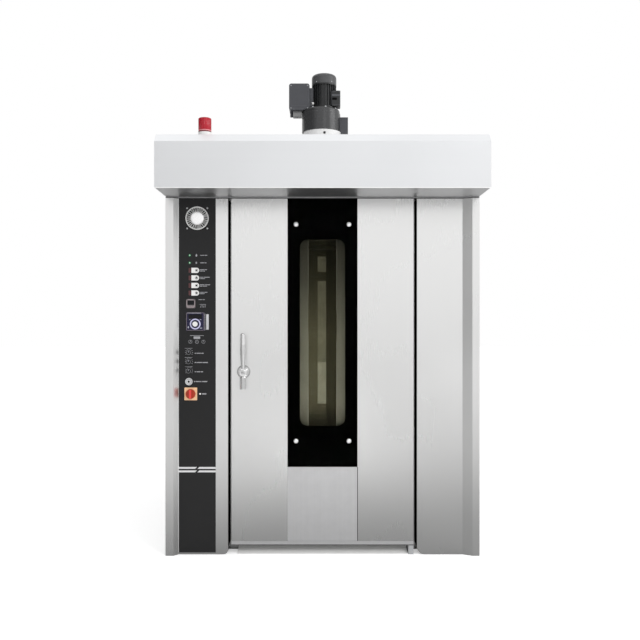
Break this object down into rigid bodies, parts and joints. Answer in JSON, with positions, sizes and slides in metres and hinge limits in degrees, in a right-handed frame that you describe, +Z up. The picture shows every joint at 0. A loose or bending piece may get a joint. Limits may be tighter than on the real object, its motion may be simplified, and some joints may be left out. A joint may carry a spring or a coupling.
{
  "type": "rotating rack oven",
  "caption": "Upright bakery oven with a hinged windowed door, a front canopy, a control column and a wheeled tray rack hung from a roof-mounted drive.",
  "frame": {"origin": "on the floor, at the centre of the footprint from the canopy front to the back panel", "axes": "+X to the right when facing the door, +Y to the back, +Z up; the door faces -Y"},
  "size_m": [1.624, 2.1, 2.716],
  "materials": {
    "satin_steel": "bright satin stainless sheet",
    "canopy_steel": "pale satin stainless sheet",
    "soffit_steel": "bright rolled stainless sheet",
    "panel_steel": "satin stainless cladding over insulation",
    "lining_steel": "heat-tinted stainless lining",
    "rack_steel": "welded stainless tube and angle",
    "cast_steel": "polished cast handle and caps",
    "heater_sheath": "oxidised heater sheath",
    "black_panel": "black faced panel",
    "trim_silver": "satin aluminium",
    "black_plastic": "moulded black plastic",
    "grey_plastic": "moulded grey plastic",
    "guard_plastic": "pale grey moulded guard",
    "white_plastic": "glossy white plastic",
    "navy_face": "navy printed face in a grey case",
    "lamp_lens": "coloured lamp lenses",
    "red_lens": "red translucent dome",
    "switch_yellow": "pale yellow plate",
    "switch_red": "orange-red knob",
    "drive_white": "white painted steel drum",
    "gearbox_grey": "dark grey paint",
    "motor_grey": "dark grey paint",
    "inverter_grey": "grey moulded box",
    "fan_motor_grey": "grey paint",
    "window_glass": "toughened glass",
    "inset_panels": "satin steel panel, with the black printed layer of the glass",
    "seal_rubber": "black silicone seal",
    "castor_zinc": "zinc plated pressings",
    "castor_tread": "heat-proof moulded wheel"
  },
  "bodies": {
    "cabinet": {"floor_pan": "lining_steel", "left_side_wall": "panel_steel", "right_side_wall": "panel_steel", "back_wall": "panel_steel", "roof_panel": "panel_steel", "door_frame": "satin_steel", "left_pillar": "satin_steel", "right_pillar": "satin_steel", "door_pivots": "castor_zinc", "air_walls": "lining_steel", "rear_baffle": "lining_steel", "heater_bank": "heater_sheath", "steam_generator": "lining_steel", "flue_collar": "panel_steel", "canopy_shell": "canopy_steel", "canopy_soffit": "soffit_steel", "beacon_base": "white_plastic", "beacon_dome": "red_lens", "control_panels": "black_panel", "panel_trims": "trim_silver", "fan_guard": "guard_plastic", "cooling_fan_frame": "black_plastic", "panel_lamps": "lamp_lens", "switch_blocks": "grey_plastic", "timer_module": "grey_plastic", "controller_module": "navy_face", "main_switch_plate": "switch_yellow", "drive_pedestal": "drive_white", "gearbox_housing": "gearbox_grey", "drive_motor": "motor_grey", "inverter_box": "inverter_grey", "fan_motor": "fan_motor_grey"},
    "door": {"door_shell": "satin_steel", "door_glass": "window_glass", "door_panels": "inset_panels", "door_fittings": "cast_steel", "door_seal": "seal_rubber"},
    "handle": {"handle_lever": "cast_steel"},
    "rack": {"rack_hanger": "rack_steel", "rack_frame": "rack_steel", "tray_rails": "rack_steel", "castor_mounts": "castor_zinc"},
    "fork_left": {"swivel_fork_left": "castor_zinc"},
    "fork_right": {"swivel_fork_right": "castor_zinc"},
    "wheel_fl": {"wheel_front_left": "castor_tread"},
    "wheel_fr": {"wheel_front_right": "castor_tread"},
    "wheel_rl": {"wheel_rear_left": "castor_tread"},
    "wheel_rr": {"wheel_rear_right": "castor_tread"},
    "circulation_fan": {"fan_impeller": "rack_steel"},
    "cooling_fan": {"cooling_fan_rotor": "black_plastic"},
    "key_1": {"switch_key_1": "white_plastic"},
    "key_2": {"switch_key_2": "white_plastic"},
    "key_3": {"switch_key_3": "white_plastic"},
    "key_4": {"switch_key_4": "white_plastic"},
    "dial": {"controller_dial": "white_plastic"},
    "knob_1": {"rotary_knob_1": "black_plastic"},
    "knob_2": {"rotary_knob_2": "black_plastic"},
    "knob_3": {"rotary_knob_3": "black_plastic"},
    "button": {"push_button": "trim_silver"},
    "main_switch": {"main_switch_knob": "switch_red"}
  },
  "joints": [
    {"name": "door_hinge", "type": "hinge", "parent": "cabinet", "child": "door", "pos_m": [0.4615, -0.735, 1], "axis": [0, 0, 1], "range_deg": [0, 120]},
    {"name": "handle_turn", "type": "hinge", "parent": "door", "child": "handle", "pos_m": [-0.41, -0.792, 0.95], "axis": [0, 1, 0], "range_deg": [0, 90]},
    {"name": "rack_spin", "type": "hinge", "parent": "cabinet", "child": "rack", "pos_m": [0, -0.04, 1], "axis": [0, 0, 1], "continuous": true},
    {"name": "circulation_fan_spin", "type": "hinge", "parent": "cabinet", "child": "circulation_fan", "pos_m": [0, 0.7665, 1.7], "axis": [0, 0, 1], "continuous": true},
    {"name": "cooling_fan_spin", "type": "hinge", "parent": "cabinet", "child": "cooling_fan", "pos_m": [-0.6515, -0.735, 1.748], "axis": [0, 1, 0], "continuous": true},
    {"name": "swivel_left", "type": "hinge", "parent": "rack", "child": "fork_left", "pos_m": [-0.39, -0.31, 0.147], "axis": [0, 0, 1], "continuous": true},
    {"name": "swivel_right", "type": "hinge", "parent": "rack", "child": "fork_right", "pos_m": [0.39, -0.31, 0.147], "axis": [0, 0, 1], "continuous": true},
    {"name": "wheel_front_left_spin", "type": "hinge", "parent": "fork_left", "child": "wheel_fl", "pos_m": [-0.39, -0.28, 0.09], "axis": [1, 0, 0], "continuous": true},
    {"name": "wheel_front_right_spin", "type": "hinge", "parent": "fork_right", "child": "wheel_fr", "pos_m": [0.39, -0.28, 0.09], "axis": [1, 0, 0], "continuous": true},
    {"name": "wheel_rear_left_spin", "type": "hinge", "parent": "rack", "child": "wheel_rl", "pos_m": [-0.39, 0.23, 0.09], "axis": [1, 0, 0], "continuous": true},
    {"name": "wheel_rear_right_spin", "type": "hinge", "parent": "rack", "child": "wheel_rr", "pos_m": [0.39, 0.23, 0.09], "axis": [1, 0, 0], "continuous": true},
    {"name": "key_1_press", "type": "slide", "parent": "cabinet", "child": "key_1", "axis": [0, 1, 0], "range_m": [0, 0.003], "stiffness_N_per_m": 200},
    {"name": "key_2_press", "type": "slide", "parent": "cabinet", "child": "key_2", "axis": [0, 1, 0], "range_m": [0, 0.003], "stiffness_N_per_m": 200},
    {"name": "key_3_press", "type": "slide", "parent": "cabinet", "child": "key_3", "axis": [0, 1, 0], "range_m": [0, 0.003], "stiffness_N_per_m": 200},
    {"name": "key_4_press", "type": "slide", "parent": "cabinet", "child": "key_4", "axis": [0, 1, 0], "range_m": [0, 0.003], "stiffness_N_per_m": 200},
    {"name": "button_press", "type": "slide", "parent": "cabinet", "child": "button", "axis": [0, 1, 0], "range_m": [0, 0.003], "stiffness_N_per_m": 200},
    {"name": "knob_1_turn", "type": "hinge", "parent": "cabinet", "child": "knob_1", "pos_m": [-0.694, -0.76, 1.05], "axis": [0, 1, 0], "range_deg": [0, 270]},
    {"name": "knob_2_turn", "type": "hinge", "parent": "cabinet", "child": "knob_2", "pos_m": [-0.694, -0.76, 1.002], "axis": [0, 1, 0], "range_deg": [0, 270]},
    {"name": "knob_3_turn", "type": "hinge", "parent": "cabinet", "child": "knob_3", "pos_m": [-0.694, -0.76, 0.954], "axis": [0, 1, 0], "range_deg": [0, 270]},
    {"name": "dial_turn", "type": "hinge", "parent": "cabinet", "child": "dial", "pos_m": [-0.661, -0.76, 1.198], "axis": [0, 1, 0], "continuous": true},
    {"name": "main_switch_turn", "type": "hinge", "parent": "cabinet", "child": "main_switch", "pos_m": [-0.6845, -0.76, 0.835], "axis": [0, 1, 0], "range_deg": [0, 90]}
  ]
}
